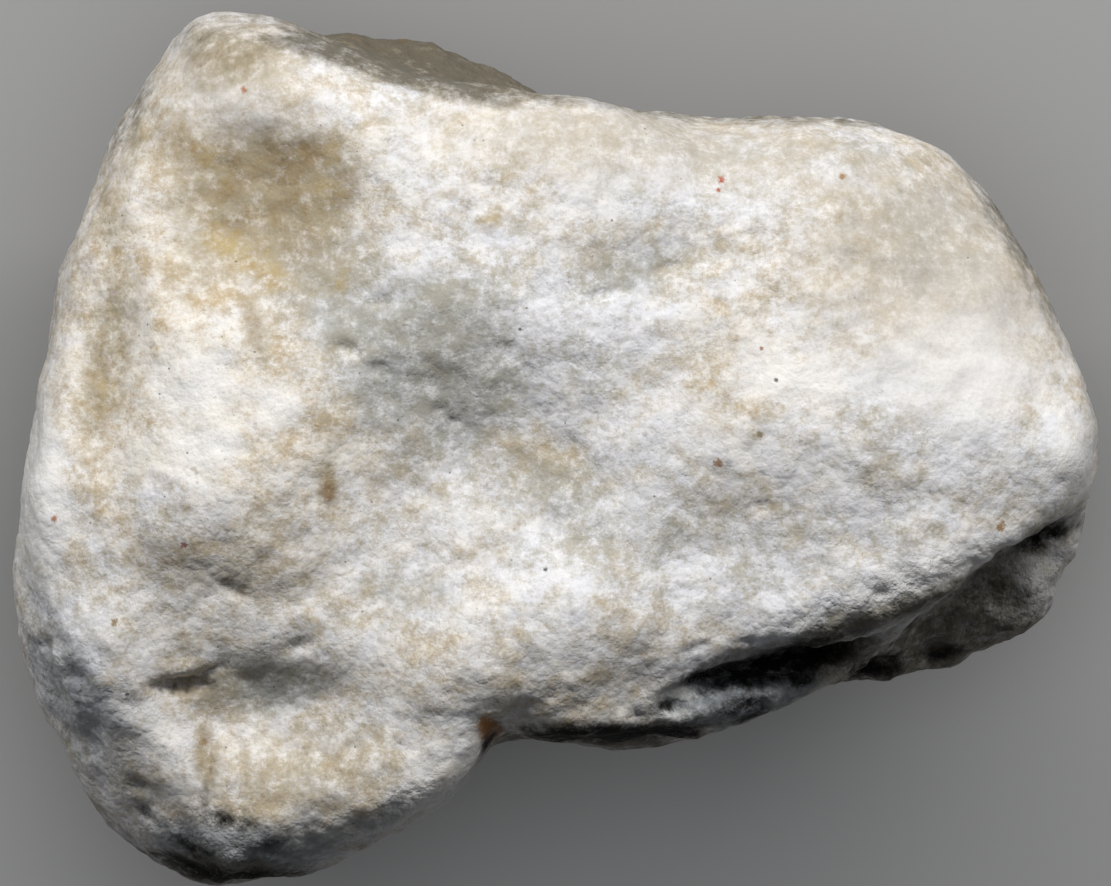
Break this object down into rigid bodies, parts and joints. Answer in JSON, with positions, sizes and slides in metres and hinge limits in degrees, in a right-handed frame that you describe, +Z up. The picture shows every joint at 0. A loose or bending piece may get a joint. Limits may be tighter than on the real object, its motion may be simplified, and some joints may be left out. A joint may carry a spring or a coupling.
{
  "type": "gypsum rock",
  "caption": "Worn hand-sized block of white rock gypsum: broad lumpy face, knobbed corner, lobed corner and a shaded overhang, lying on the flat of its back.",
  "frame": {"origin": "the middle of the bounding box's underside, on the surface that the rock lies on", "axes": "+X from the left flank towards the blunt nose, +Y from the corner lobe towards the long edge and the knob, +Z up out of the broad face"},
  "size_m": [0.0914, 0.0734, 0.05],
  "materials": {
    "rock_gypsum": "dull, worn, sugary grain"
  },
  "bodies": {
    "root": {"gypsum_rock": "rock_gypsum"}
  },
  "joints": []
}
